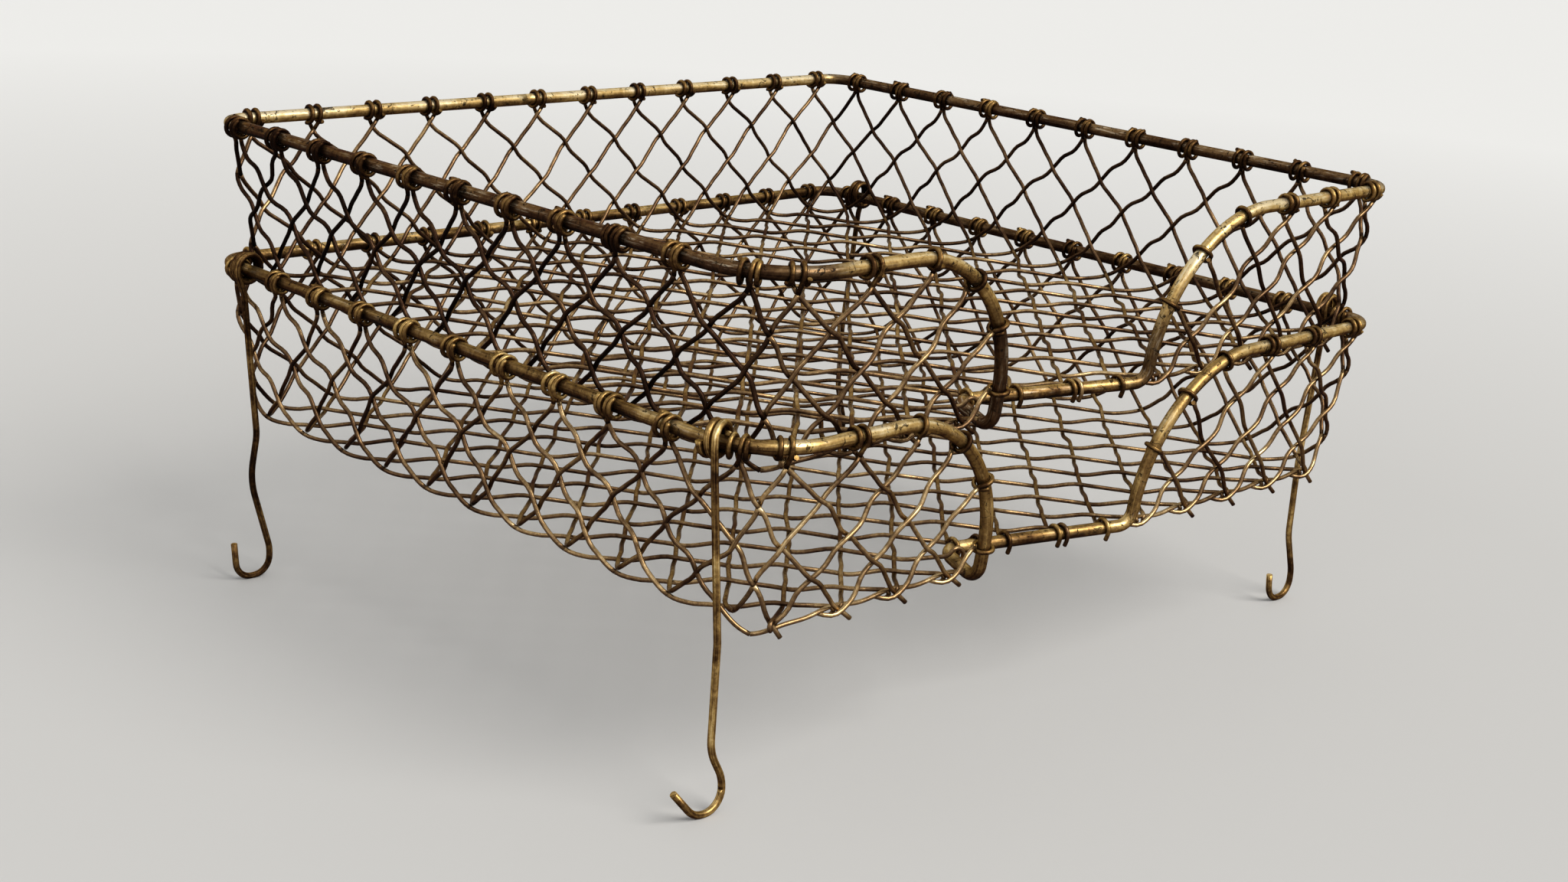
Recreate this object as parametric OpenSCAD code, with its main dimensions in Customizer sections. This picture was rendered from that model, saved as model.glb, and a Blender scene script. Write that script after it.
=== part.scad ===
// Stacking letter tray: two wire baskets, the upper one lifting out of the lower one's rim.
// X runs along the front with the finger dip, -Y is the front, Z is up, the table is z = 0.

/* [Tray] */
// Width of the rim, left to right, between the middles of its rods
rim_w = 320; // [280:1:370]
// Depth of the rim, front to back, between the middles of its rods
rim_d = 290; // [250:1:330]
// Height from the floor net up to the rim, between their middles
tray_h = 58; // [52:1:72]
// Radius of the rim's wide bend at the front left corner
front_left_r = 27; // [16:1:32]
// Radius of the rim's other three corner bends
corner_r = 10; // [8:0.5:18]

/* [Stack] */
// Height of the lower floor net above the table
floor_z = 60; // [50:1:75]
// How far the upper floor net sinks below the lower rim
nest = 6.3; // [5:0.1:8]
// Clearance all round between the upper nets and the ties on the lower rim
seat_gap = 0.4; // [0.35:0.05:0.8]

/* [Wires] */
// Diameter of the rim's rod
rim_dia = 4.5; // [3.8:0.1:5.2]
// Diameter of the net's wires
net_dia = 1.6; // [1.3:0.1:1.9]
// Diameter of the legs' wire
leg_dia = 2.4; // [2:0.1:2.8]

/* [Finger dip] */
// Width of the dip at its bottom, between the middles of the rods
dip_w = 80; // [60:1:100]
// How far the dip's middle lies left of the tray's middle
dip_left = 10; // [0:1:18]
// Radius of the rod's small bends at the bottom of the dip
bar_bend = 5.5; // [4.5:0.5:7]
// How far the bar's left end is set back from the front
bar_back = 20; // [18:0.5:26]
// How far the turn at the left end of the bar hangs below the floor
bar_sag = 4.5; // [2:0.5:6]

/* [Net] */
// Diamonds across the width
cells_w = 12; // [10:1:14]
// Diamonds across the depth
cells_d = 11; // [9:1:13]
// Half diamonds up each side
rows = 4; // [2:2:6]
// Drop from the rim's middle to the crossing that is tied to it
tie_drop = 6; // [5.8:0.1:7]
// Length of the cut wire ends below the front edge
cut_end = 6; // [3:0.5:8]

/* [Legs] */
// Turns of the eye that each leg winds round the rim
eye_turns = 2; // [1:1:3]
// Inner radius of the eye
eye_in = 3.9; // [3.4:0.1:4.1]
// Radius of the bends in the foot's hook
hook_r = 6.6; // [5:0.2:7.4]
// How far the foot's hook swells to the right of the leg
hook_swell = 5.4; // [3:0.2:6]
// Depth of the worn flat under each foot
foot_flat = 0.25; // [0.15:0.05:0.4]

/* [Hidden] */
$fn = 48;
// Clearances: wire on wire in the net, tie on rod, cut face to cut face
layer_gap = 0.06;
tie_gap = 0.2;
butt_gap = 0.1;
rim_r = rim_dia / 2;
net_r = net_dia / 2;
leg_r = leg_dia / 2;
// The two sets of net wires lie one outside the other, this far from the net's middle
layer = net_r + layer_gap / 2;
net_out = layer + net_r;
tie_mid = rim_r + tie_gap + net_r;
tie_out = tie_mid + net_r;
tie_pitch = net_dia + 0.3;
net_h = tray_h - tie_drop;
// The floor is as much smaller than the rim as the seat of the next tray asks for
floor_inset = (tie_out + seat_gap + net_out) / (1 - nest / net_h);
rim_hw = rim_w / 2;
rim_hd = rim_d / 2;
floor_hw = rim_hw - floor_inset;
floor_hd = rim_hd - floor_inset;
step_n = 2 * cells_w;
step_m = 2 * cells_d;
half_cell_d = 2 * floor_hd / step_m;
// Heights of the upper tray's floor, and of both trays' parts above their floors
upper_z = floor_z + tray_h - nest;
fold_bend = 3;
fold_len = 3.4;
// A rounded corner's middle lies this part of its radius inside the sharp corner
cut = 1 - sqrt(0.5);
// The rim rod's way through the dip
dip_x0 = -dip_left - dip_w / 2;
dip_x1 = -dip_left + dip_w / 2;
shoulder_r = tray_h - bar_bend - 1;
bar_a = [dip_x0, -floor_hd + floor_inset * bar_sag / tray_h, -bar_sag];
bar_b = [dip_x0 + 4, -floor_hd + bar_back, 0];
bar_c = [dip_x1, -floor_hd, 0];
bar_room = tie_out + 0.65;
// The edge wire runs just behind the front net
edge_in = net_out + net_r + butt_gap;
edge_room = edge_in + 1.75 * net_r + 0.2;
// Legs: the rod lies low in the eye, so the eye stands up and outwards from it
eye_mid = eye_in + leg_r;
eye_off = (eye_in - rim_r - 0.1) * sqrt(0.5);
eye_pitch = leg_dia + 0.3;
leg_y = floor_hd - half_cell_d;
knee_x = rim_hw + net_out + leg_r + 0.7;
knee_z = floor_z + net_h - 2;
foot_x = floor_hw + net_out + leg_r + 2.5;
foot_mid = leg_r - foot_flat;
// Foot tips: how far the hook's floor runs left of the leg, then the way its tip points
tip_open = [5.5, 10.4, 8.6];
tip_shut = [8.4, 1.4, 11];
// The whole part is centred on its box, which the left feet stretch
box_lo = -foot_x - tip_open[0] - tip_open[1] - leg_r * tip_open[2] / norm([tip_open[1], tip_open[2]]);
box_hi = rim_hw + eye_off + eye_mid + leg_r;
mid_x = (box_lo + box_hi) / 2;

function unit(v) = v / norm(v);
function mix(a, b, t) = a + (b - a) * t;
function flat(p) = [p[0], p[1]];

// Wire bending: straight lengths as cylinders, bends as parts of a ring
function turn_angle(a, b) = acos(max(-1, min(1, a * b)));
function bend_len(p, q, s, r) = r * tan(turn_angle(unit(q - p), unit(s - q)) / 2);

module straight(a, b, r) {
  z = unit(b - a);
  x = unit(cross(abs(z[2]) < 0.9 ? [0, 0, 1] : [1, 0, 0], z));
  y = cross(z, x);
  multmatrix([[x[0], y[0], z[0], a[0]], [x[1], y[1], z[1], a[1]], [x[2], y[2], z[2], a[2]]])
    cylinder(h = norm(b - a), r = r);
}

module bend(p, q, s, bend_r, r) {
  d1 = unit(q - p);
  d2 = unit(s - q);
  w = unit(d2 - d1 * (d1 * d2));
  n = cross(d1, w);
  c = q - d1 * bend_len(p, q, s, bend_r) + w * bend_r;
  multmatrix([[-w[0], d1[0], n[0], c[0]], [-w[1], d1[1], n[1], c[1]], [-w[2], d1[2], n[2], c[2]]])
    rotate_extrude(angle = turn_angle(d1, d2)) translate([bend_r, 0]) circle(r = r);
}

// Joins lengths that meet end to end: a hair thicker than the wire, so that they become one solid
module joint_at(p, d, r) {
  straight(p - d * 0.2, p + d * 0.2, r + 0.03);
}
module bead(p, r) {
  translate(p) sphere(r = r + 0.06);
}
function is_kink(p, q, s) = turn_angle(unit(q - p), unit(s - q)) < 16;
// How far short of a corner the straight length stops
function short_of(p, q, s, bend_r, r) =
  is_kink(p, q, s) ? bend_len(p, q, s, r) + 0.03 : bend_len(p, q, s, bend_r);

module turn_at(p, q, s, bend_r, r) {
  if (is_kink(p, q, s)) bead(q, r);
  else {
    d1 = unit(q - p);
    d2 = unit(s - q);
    t = bend_len(p, q, s, bend_r);
    bend(p, q, s, bend_r, r);
    joint_at(q - d1 * t, d1, r);
    joint_at(q + d2 * t, d2, r);
  }
}

module bent_wire(pts, bends, r) {
  last = len(pts) - 1;
  for (i = [0 : last - 1]) {
    d = unit(pts[i + 1] - pts[i]);
    back = i == 0 ? 0 : short_of(pts[i - 1], pts[i], pts[i + 1], bends[i], r);
    fore = i == last - 1 ? 0 : short_of(pts[i], pts[i + 1], pts[i + 2], bends[i + 1], r);
    straight(pts[i] + d * back, pts[i + 1] - d * fore, r);
  }
  if (last > 1)
    for (i = [1 : last - 1]) turn_at(pts[i - 1], pts[i], pts[i + 1], bends[i], r);
}

module closed_wire(pts, bends, r) {
  n = len(pts);
  for (i = [0 : n - 1]) {
    o = pts[(i + n - 1) % n];
    p = pts[i];
    q = pts[(i + 1) % n];
    s = pts[(i + 2) % n];
    d = unit(q - p);
    straight(p + d * bend_len(o, p, q, bends[i]), q - d * bend_len(p, q, s, bends[(i + 1) % n]), r);
    turn_at(o, p, q, bends[i], r);
  }
}

// A winding round the line through p along e, from the side that down points to
module winding(p, e, down, mid_r, r, pitch, turns) {
  y = cross(e, down);
  lean = atan(pitch / (4 * mid_r));
  multmatrix([[down[0], y[0], e[0], p[0]], [down[1], y[1], e[1], p[1]], [down[2], y[2], e[2], p[2]]])
    for (k = [0 : 2 * turns - 1]) {
      translate([0, 0, (k + 0.5 - turns) * pitch / 2])
        rotate([0, 0, 180 * k]) rotate([0, lean, 0])
          rotate_extrude(angle = 180) translate([mid_r / cos(lean), 0]) circle(r = r);
      if (k > 0) joint_at([k % 2 == 0 ? mid_r : -mid_r, 0, (k - turns) * pitch / 2], [0, 1, 0], r);
    }
}

// Rim rod: one rod bent round the rim, down both shoulders and across the bottom of the dip
module rim_rod() {
  closed_wire(
    [[-rim_hw, -rim_hd, tray_h], [dip_x0, -rim_hd, tray_h], bar_a, bar_b, bar_c, [dip_x1, -rim_hd, tray_h],
     [rim_hw, -rim_hd, tray_h], [rim_hw, rim_hd, tray_h], [-rim_hw, rim_hd, tray_h]],
    [front_left_r, shoulder_r, bar_bend, bar_bend, bar_bend, shoulder_r, corner_r, corner_r, corner_r],
    rim_r);
}

// Outlines: points k half diamonds along a side of a rectangle with rounded corners
function lengthways(side) = side == "left" || side == "right";
function steps(side) = lengthways(side) ? step_m : step_n;
function round_in(d, r) = d < r ? r - sqrt(r * r - (r - d) * (r - d)) : 0;
function edge_pt(side, k, hw, hd) =
  let(long = 2 * (lengthways(side) ? hd : hw),
      r0 = side == "left" || side == "front" ? front_left_r : corner_r,
      n = steps(side),
      s = k <= 0 ? cut * r0 : k >= n ? long - cut * corner_r : long * k / n,
      in = max(round_in(s, r0), round_in(long - s, corner_r)))
  side == "left" ? [-hw + in, -hd + s] :
  side == "right" ? [hw - in, -hd + s] :
  side == "back" ? [-hw + s, hd - in] : [-hw + s, -hd + in];
function outward(side) =
  side == "left" ? [-1, 0, 0] : side == "right" ? [1, 0, 0] : side == "back" ? [0, 1, 0] : [0, -1, 0];
function corner_out(side, k) =
  k > 0 && k < steps(side) ? [0, 0, 0] :
  lengthways(side) ? (k <= 0 ? [0, -1, 0] : [0, 1, 0]) : (k <= 0 ? [-1, 0, 0] : [1, 0, 0]);
// The set of wires that lies outside rises this way along each side
function outer_way(side) = side == "left" || side == "front" ? -1 : 1;

// A point of a side net, k half diamonds along and v up, in the outer (f = 1) or inner (f = -1) set
function wall_pt(side, k, v, f) =
  let(lo = edge_pt(side, k, floor_hw, floor_hd), hi = edge_pt(side, k, rim_hw, rim_hd))
  mix([lo[0], lo[1], 0], [hi[0], hi[1], net_h], v / rows)
  + (outward(side) + corner_out(side, k)) * f * layer - [0, 0, v == 0 ? f * layer : 0];

// Side nets of the left, right and back: every wire comes up out of the floor and ends at a tie or a corner
module fold_wire(side, k, way) {
  n = steps(side);
  f = way * outer_way(side);
  room = way > 0 ? n - k : k;
  v = min(rows, room);
  a = wall_pt(side, k, 0, f);
  inner = -outward(side) - cross([0, 0, 1], outward(side)) * way * along_sign(side);
  start = a + unit(inner) * fold_len;
  top(side, [start, a], k + way * v, v, f, v < rows ? k + way * (v - 1) : -1);
}
function along_sign(side) = side == "left" || side == "back" ? -1 : 1;

// Adds the upper end to a wire; a front or back wire that meets a corner changes sets just before it
module top(side, low, k, v, f, k_before) {
  shift = k_before >= 0 && !lengthways(side);
  e = wall_pt(side, k, v, shift ? -f : f);
  mid = shift && v > 1 ? [wall_pt(side, k_before, v - 1, f)] : [];
  path = concat(low, mid, [e]);
  n = len(path);
  d = unit(path[n - 1] - path[n - 2]);
  trim = k_before >= 0 ? -net_r - butt_gap : 1;
  bent_wire(concat([for (i = [0 : n - 2]) path[i]], [e + d * trim]),
            [for (i = [0 : n - 1]) i == 1 ? fold_bend : 6], net_r);
}

// A wire that comes round the corner at height v and rises to a tie
module corner_wire(side, k, way, v) {
  f = way * outer_way(side);
  c = wall_pt(side, k, v, lengthways(side) ? f : -f);
  m = wall_pt(side, k + way, v + 1, f);
  e = wall_pt(side, k + way * (rows - v), rows, f);
  start = c + unit(m - c) * (net_r + butt_gap);
  tip = e + unit(e - m) * 1;
  if (lengthways(side) || rows - v < 2)
    straight(start, e + unit(e - c) * 1, net_r);
  else
    bent_wire([start, m, tip], [0, 6, 0], net_r);
}

module side_net(side) {
  n = steps(side);
  for (k = [1 : 2 : n - 1]) {
    fold_wire(side, k, 1);
    fold_wire(side, k, -1);
  }
  for (v = [1 : 2 : rows - 1]) {
    corner_wire(side, 0, 1, v);
    corner_wire(side, n, -1, v);
  }
}

// Ties: the wire ends wind twice round the rim over each tied crossing
module side_ties(side) {
  n = steps(side);
  e = lengthways(side) ? [0, 1, 0] : [1, 0, 0];
  r0 = side == "left" ? front_left_r : corner_r;
  long = lengthways(side) ? rim_d : rim_w;
  for (k = [1 : 2 : n - 1]) {
    p = edge_pt(side, k, rim_hw, rim_hd);
    s = long * k / n;
    tilt = s < r0 ? asin((r0 - s) / r0) : long - s < corner_r ? -asin((corner_r - long + s) / corner_r) : 0;
    turn = side == "right" ? -tilt : tilt;
    d = [e[0] * cos(turn) - e[1] * sin(turn), e[0] * sin(turn) + e[1] * cos(turn), 0];
    winding([p[0], p[1], tray_h], d, [0, 0, -1],
            tie_mid, net_r, tie_pitch, 2);
  }
}

// Front nets: two lobes under the shoulders; h is 1 for the left lobe and -1 for the right one
function lobe_foot(h) = h > 0 ? dip_x0 : -dip_x1;
function in_lobe(h, p) =
  let(x = h * p[0], z = p[2], xc = lobe_foot(h) - shoulder_r, zc = tray_h - shoulder_r)
  x <= xc ? z <= net_h + 0.01 :
  z <= zc ? x <= lobe_foot(h) - tie_drop : norm([x - xc, z - zc]) <= shoulder_r - tie_drop;
function front_at(k, way, t, f) =
  mix(wall_pt("front", k, 0, f), wall_pt("front", k + way * rows, rows, f), t);
function lobe_end(h, k, way, f, lo, hi, left) =
  left == 0 ? lo :
  let(m = (lo + hi) / 2)
  in_lobe(h, front_at(k, way, m, f)) ? lobe_end(h, k, way, f, m, hi, left - 1)
                                     : lobe_end(h, k, way, f, lo, m, left - 1);
function lobe_ks(h) = [for (k = [1 : 2 : step_n - 1]) if (in_lobe(h, wall_pt("front", k, 0, 0))) k];
// Part of the way up at which a wire from the front edge ends, where the lobe stops it before the top
function lobe_stop(h, k, way) =
  let(f = way * outer_way("front"))
  in_lobe(h, front_at(k, way, 1, f)) ? 1 : lobe_end(h, k, way, f, 0, 1, 14);

module lobe_net(h) {
  for (k = lobe_ks(h), way = [-1, 1]) {
    f = way * outer_way("front");
    room = way > 0 ? step_n - k : k;
    a = wall_pt("front", k, 0, f) + [0, 0, f * layer];
    if (room < rows) {
      c = wall_pt("front", k + way * room, room, -f);
      m = room > 1 ? wall_pt("front", k + way * (room - 1), room - 1, f) : a;
      low = a - unit((room > 1 ? m : c) - a) * cut_end;
      end = c - unit(c - m) * (net_r + butt_gap);
      bent_wire(room > 1 ? [low, m, end] : [low, end], [0, 6, 0], net_r);
    } else {
      t = lobe_stop(h, k, way);
      e = front_at(k, way, t, f) + (t < 1 ? 0.4 : 0) * unit(front_at(k, way, 1, f) - a);
      b = wall_pt("front", k, 0, f) + [0, 0, f * layer];
      d = unit(e - b);
      if (norm(e - b) > 8) straight(b - d * cut_end, e + d * (t < 1 ? 0 : 1), net_r);
    }
  }
  k = h > 0 ? 0 : step_n;
  for (v = [1 : 2 : rows - 1]) corner_wire("front", k, h, v);
}

// A point on the shoulder's rod, its direction, and the way to the net below it
function shoulder_y(z) = -floor_hd - (rim_hd - floor_hd) * z / tray_h;
module shoulder_tie(h, x, z) {
  xc = lobe_foot(h) - shoulder_r;
  zc = tray_h - shoulder_r;
  u = x <= xc ? [0, 1] : z <= zc ? [1, 0] : unit([x - xc, z - zc]);
  q = x <= xc ? [x, tray_h] : z <= zc ? [lobe_foot(h), z] : [xc, zc] + u * shoulder_r;
  slope = (rim_hd - floor_hd) / tray_h;
  e = unit([h * u[1], slope * u[0], -u[0]]);
  g = [-h * u[0], slope * u[1], -u[1]];
  down = unit(g - e * (g * e));
  winding([h * q[0], shoulder_y(q[1]), q[1]], e, down, tie_mid, net_r, tie_pitch, 2);
}
module lobe_ties(h) {
  for (k = lobe_ks(h), way = [-1, 1]) {
    room = way > 0 ? step_n - k : k;
    f = way * outer_way("front");
    if (room >= rows) {
      t = lobe_stop(h, k, way);
      e = front_at(k, way, t, f);
      if (t < 1 && norm(e - wall_pt("front", k, 0, f)) > 8) shoulder_tie(h, h * e[0], e[2]);
    }
  }
  for (k = [1 : 2 : step_n - 1])
    if (in_lobe(h, wall_pt("front", k, rows, 0)) && h * wall_pt("front", k, rows, 0)[0] < 0) {
      p = edge_pt("front", k, rim_hw, rim_hd);
      s = rim_w * k / step_n;
      r0 = front_left_r;
      tilt = s < r0 ? -asin((r0 - s) / r0)
           : rim_w - s < corner_r ? asin((corner_r - rim_w + s) / corner_r) : 0;
      winding([p[0], p[1], tray_h], [cos(tilt), sin(tilt), 0], [0, 0, -1], tie_mid, net_r, tie_pitch, 2);
    }
}

// Floor net: the lower set runs with the diagonal, the upper one across it
function rim_side(i, j) = i == 0 ? "left" : i == step_n ? "right" : j == 0 ? "front" : "back";
function floor_pt(i, j, f) =
  let(side = rim_side(i, j),
      p = edge_pt(side, lengthways(side) ? j : i, floor_hw, floor_hd))
  [p[0], p[1], -f * layer] + outward(side) * f * layer;
function seg_dist(p, a, b) =
  let(t = max(0, min(1, (p - a) * (b - a) / ((b - a) * (b - a)))))
  norm(p - mix(a, b, t));
function bar_clear(p) =
  min(seg_dist(p, flat(bar_a), flat(bar_b)), seg_dist(p, flat(bar_b), flat(bar_c))) > bar_room;
// First place on the way from a to b, in quarter millimetres, where the bar stops a wire
function first_hit(a, b, t, dt) =
  t >= 1 ? 1 : bar_clear(flat(mix(a, b, t))) ? first_hit(a, b, t + dt, dt) : t - dt;
function trim_end(from, to, side, f) =
  side != "front" ? to - unit(to - from) * (fold_len + butt_gap) :
  let(stop = to + (from - to) * (edge_room + f * layer + 0.2 * (to[1] + floor_hd)) / abs(from[1] - to[1]),
      t = first_hit(from, stop, 0, 0.25 / norm(stop - from)))
  mix(from, stop, t);
function floor_ends(i, j, i1, j1, f) =
  let(a = floor_pt(i, j, f), b = floor_pt(i1, j1, f))
  [trim_end(b, a, rim_side(i, j), f), trim_end(a, b, rim_side(i1, j1), f)];
function lower_set() = [for (c = [1 - step_m : 2 : step_n - 1])
  let(i = max(c, 0), j = max(-c, 0), t = min(step_n - i, step_m - j)) floor_ends(i, j, i + t, j + t, 1)];
// The edge wire takes the place of the upper set's first wire, at the front left corner
function upper_set() = [for (c = [3 : 2 : step_n + step_m - 1])
  let(i = max(c - step_m, 0), j = min(c, step_m), t = min(step_n - i, j))
  floor_ends(i, j, i + t, j - t, -1)];

module floor_net() {
  for (w = lower_set()) straight(w[0], w[1], net_r);
  for (w = upper_set()) straight(w[0], w[1], net_r);
}

// Bar ties: floor wires that meet the bar wind twice round it
bar_dir = unit(bar_c - bar_b);
module bar_ties() {
  for (w = lower_set()) {
    s = (w[0] - bar_b) * bar_dir;
    gap = seg_dist(flat(w[0]), flat(bar_b), flat(bar_c));
    if (gap < bar_room + 0.5 && s > 12 && s < norm(bar_c - bar_b) - 12)
      winding(bar_b + bar_dir * s, bar_dir, cross([0, 0, 1], bar_dir), tie_mid, net_r, tie_pitch, 2);
  }
}

// Edge wires: one along the bottom of each lobe, between its net and the floor; the left one turns with
// the corner of the floor
module edge_wire(h) {
  end = [(h > 0 ? dip_x0 : dip_x1) - h * (rim_r + net_r + 1.2), -floor_hd + edge_in, 0];
  if (h > 0) {
    turn = 54;
    turn_r = front_left_r - edge_in;
    mid = [front_left_r - floor_hw, front_left_r - floor_hd, 0];
    start = mid - turn_r * [sin(turn), cos(turn), 0] - 1.5 * [cos(turn), -sin(turn), 0];
    bent_wire([start, mid - turn_r * [tan(turn / 2), 1, 0], end], [0, turn_r, 0], net_r);
  } else {
    start = edge_pt("front", step_n - 0.75, floor_hw, floor_hd);
    straight([start[0], end[1], 0], end, net_r);
  }
}

// Leg: an eye round the rim, a kneed shank beside the net and a hooked foot; s is -1 left, 1 right.
// Lean is the angle by which the rim has begun to turn into its corner bend at the eye.
module leg(s, y, lean, tip) {
  rim_in = lean > 0 ? front_left_r * (1 - cos(lean)) : 0;
  out = [s * cos(lean), -sin(lean), 0];
  e = cross(out, [0, 0, 1]);
  eye = [s * (rim_hw - rim_in), y, floor_z + tray_h] + eye_off * (out + [0, 0, 1]);
  start = eye + out * eye_mid - e * eye_turns * eye_pitch / 2;
  x = s * foot_x;
  w = start[1];
  intersection() {
    union() {
      winding(eye, e, out, eye_mid, leg_r, eye_pitch, eye_turns);
      joint_at(start, [0, 0, 1], leg_r);
      bent_wire(
        [start, start - [0, 0, 1.5], [s * knee_x, w, knee_z], [x, w, floor_z - 4], [x, w, foot_mid + 17],
         [x + hook_swell, w, foot_mid + 10], [x + hook_swell, w, foot_mid], [x - tip[0], w, foot_mid],
         [x - tip[0] - tip[1], w, foot_mid + tip[2]]],
        [0, 3, 8, 10, 5, 5, hook_r, hook_r, 0], leg_r);
    }
    translate([-rim_w, -rim_d, 0]) cube([2 * rim_w, 2 * rim_d, 2 * (floor_z + tray_h)]);
  }
}
// How far the rim has turned into the front left bend where a leg's eye is
function eye_lean(y) = asin(max(0, min(1, (front_left_r - rim_hd + y) / front_left_r)));

module place(z, tint) {
  color(tint) translate([-mid_x, 0, z]) children();
}

rod_tint = [0.56, 0.42, 0.2];
net_tint = [0.36, 0.28, 0.18];
tie_tint = [0.66, 0.5, 0.24];
leg_tint = [0.6, 0.44, 0.2];

module lower_rim() place(floor_z, rod_tint) rim_rod();
module lower_floor_net() place(floor_z, net_tint) floor_net();
module lower_left_net() place(floor_z, net_tint) side_net("left");
module lower_right_net() place(floor_z, net_tint) side_net("right");
module lower_back_net() place(floor_z, net_tint) side_net("back");
module lower_front_left_net() place(floor_z, net_tint) lobe_net(1);
module lower_front_right_net() place(floor_z, net_tint) lobe_net(-1);
module lower_left_ties() place(floor_z, tie_tint) side_ties("left");
module lower_right_ties() place(floor_z, tie_tint) side_ties("right");
module lower_back_ties() place(floor_z, tie_tint) side_ties("back");
module lower_front_left_ties() place(floor_z, tie_tint) lobe_ties(1);
module lower_front_right_ties() place(floor_z, tie_tint) lobe_ties(-1);
module lower_bar_ties() place(floor_z, tie_tint) bar_ties();
module lower_left_edge_wire() place(floor_z, net_tint) edge_wire(1);
module lower_right_edge_wire() place(floor_z, net_tint) edge_wire(-1);
module front_left_leg() place(0, leg_tint) leg(-1, -leg_y, eye_lean(leg_y), tip_open);
module front_right_leg() place(0, leg_tint) leg(1, -leg_y, 0, tip_shut);
module back_left_leg() place(0, leg_tint) leg(-1, leg_y, 0, tip_shut);
module back_right_leg() place(0, leg_tint) leg(1, leg_y, 0, tip_shut);
module upper_rim() place(upper_z, rod_tint) rim_rod();
module upper_floor_net() place(upper_z, net_tint) floor_net();
module upper_left_net() place(upper_z, net_tint) side_net("left");
module upper_right_net() place(upper_z, net_tint) side_net("right");
module upper_back_net() place(upper_z, net_tint) side_net("back");
module upper_front_left_net() place(upper_z, net_tint) lobe_net(1);
module upper_front_right_net() place(upper_z, net_tint) lobe_net(-1);
module upper_left_ties() place(upper_z, tie_tint) side_ties("left");
module upper_right_ties() place(upper_z, tie_tint) side_ties("right");
module upper_back_ties() place(upper_z, tie_tint) side_ties("back");
module upper_front_left_ties() place(upper_z, tie_tint) lobe_ties(1);
module upper_front_right_ties() place(upper_z, tie_tint) lobe_ties(-1);
module upper_bar_ties() place(upper_z, tie_tint) bar_ties();
module upper_left_edge_wire() place(upper_z, net_tint) edge_wire(1);
module upper_right_edge_wire() place(upper_z, net_tint) edge_wire(-1);

lower_rim();
lower_floor_net();
lower_left_net();
lower_right_net();
lower_back_net();
lower_front_left_net();
lower_front_right_net();
lower_left_ties();
lower_right_ties();
lower_back_ties();
lower_front_left_ties();
lower_front_right_ties();
lower_bar_ties();
lower_left_edge_wire();
lower_right_edge_wire();
front_left_leg();
front_right_leg();
back_left_leg();
back_right_leg();
upper_rim();
upper_floor_net();
upper_left_net();
upper_right_net();
upper_back_net();
upper_front_left_net();
upper_front_right_net();
upper_left_ties();
upper_right_ties();
upper_back_ties();
upper_front_left_ties();
upper_front_right_ties();
upper_bar_ties();
upper_left_edge_wire();
upper_right_edge_wire();
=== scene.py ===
import math

import bpy
import numpy as np
from mathutils import Matrix, Vector


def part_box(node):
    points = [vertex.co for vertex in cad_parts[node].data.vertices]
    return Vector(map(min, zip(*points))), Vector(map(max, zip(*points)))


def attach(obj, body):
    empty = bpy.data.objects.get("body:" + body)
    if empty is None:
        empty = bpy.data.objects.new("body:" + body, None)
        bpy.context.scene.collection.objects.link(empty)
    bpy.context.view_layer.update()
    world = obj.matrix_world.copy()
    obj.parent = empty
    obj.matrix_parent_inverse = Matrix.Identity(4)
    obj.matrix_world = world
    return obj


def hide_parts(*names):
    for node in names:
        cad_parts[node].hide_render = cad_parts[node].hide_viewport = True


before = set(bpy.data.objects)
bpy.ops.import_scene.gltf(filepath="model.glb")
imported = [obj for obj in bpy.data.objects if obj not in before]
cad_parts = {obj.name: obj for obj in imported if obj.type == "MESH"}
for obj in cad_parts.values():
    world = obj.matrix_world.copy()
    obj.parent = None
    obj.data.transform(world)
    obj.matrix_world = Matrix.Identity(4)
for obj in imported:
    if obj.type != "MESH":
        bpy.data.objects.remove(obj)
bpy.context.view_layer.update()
scene = bpy.context.scene

# Sizes of the tray in millimetres, as in the part's source
RIM_HW, RIM_HD, TRAY_H = 160.0, 145.0, 58.0
FL_R, CORNER_R = 27.0, 10.0
NEST, TIE_DROP, SEAT_GAP = 6.3, 6.0, 0.4
RIM_R, NET_R = 2.25, 0.8
NX, NY, ROWS = 24, 22, 4
DIP_X0, DIP_X1, BAR_BEND, BAR_BACK = -50.0, 30.0, 5.5, 20.0
TIE_MID = RIM_R + 0.2 + NET_R
NET_H = TRAY_H - TIE_DROP
INSET = (TIE_MID + NET_R + SEAT_GAP + NET_R + 0.03 + NET_R) / (1 - NEST / NET_H)
FLOOR_HW, FLOOR_HD = RIM_HW - INSET, RIM_HD - INSET
SHOULDER_R = TRAY_H - BAR_BEND - 1
BAR_SAG = 4.5
BAR_A = np.array([DIP_X0, -FLOOR_HD + INSET * BAR_SAG / TRAY_H, 0.0])
BAR_B = np.array([DIP_X0 + 4, -FLOOR_HD + BAR_BACK, 0.0])
BAR_C = np.array([DIP_X1, -FLOOR_HD, 0.0])
EDGE_IN = 3 * NET_R + 0.13
CUT = 1 - math.sqrt(0.5)
CUT_END = 6.0
# Where the left edge wire begins, in steps of the net from the corner
EDGE_START = 0.62
# Step and last place of the edge wires' points, and the room left between them and what they meet
EDGE_STEP, EDGE_LAST, EDGE_ROOM = 0.1, 8, 1.2
# How far the left edge wire droops at the corner
EDGE_DROOP = 4.4
# The last wire of the left side on its way to the edge wire: parts of the way in x, y and z
CORNER_BEND = ((0.05, 0.31, 0.44), (0.22, 0.61, 0.78), (0.55, 0.83, 0.97))
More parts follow.
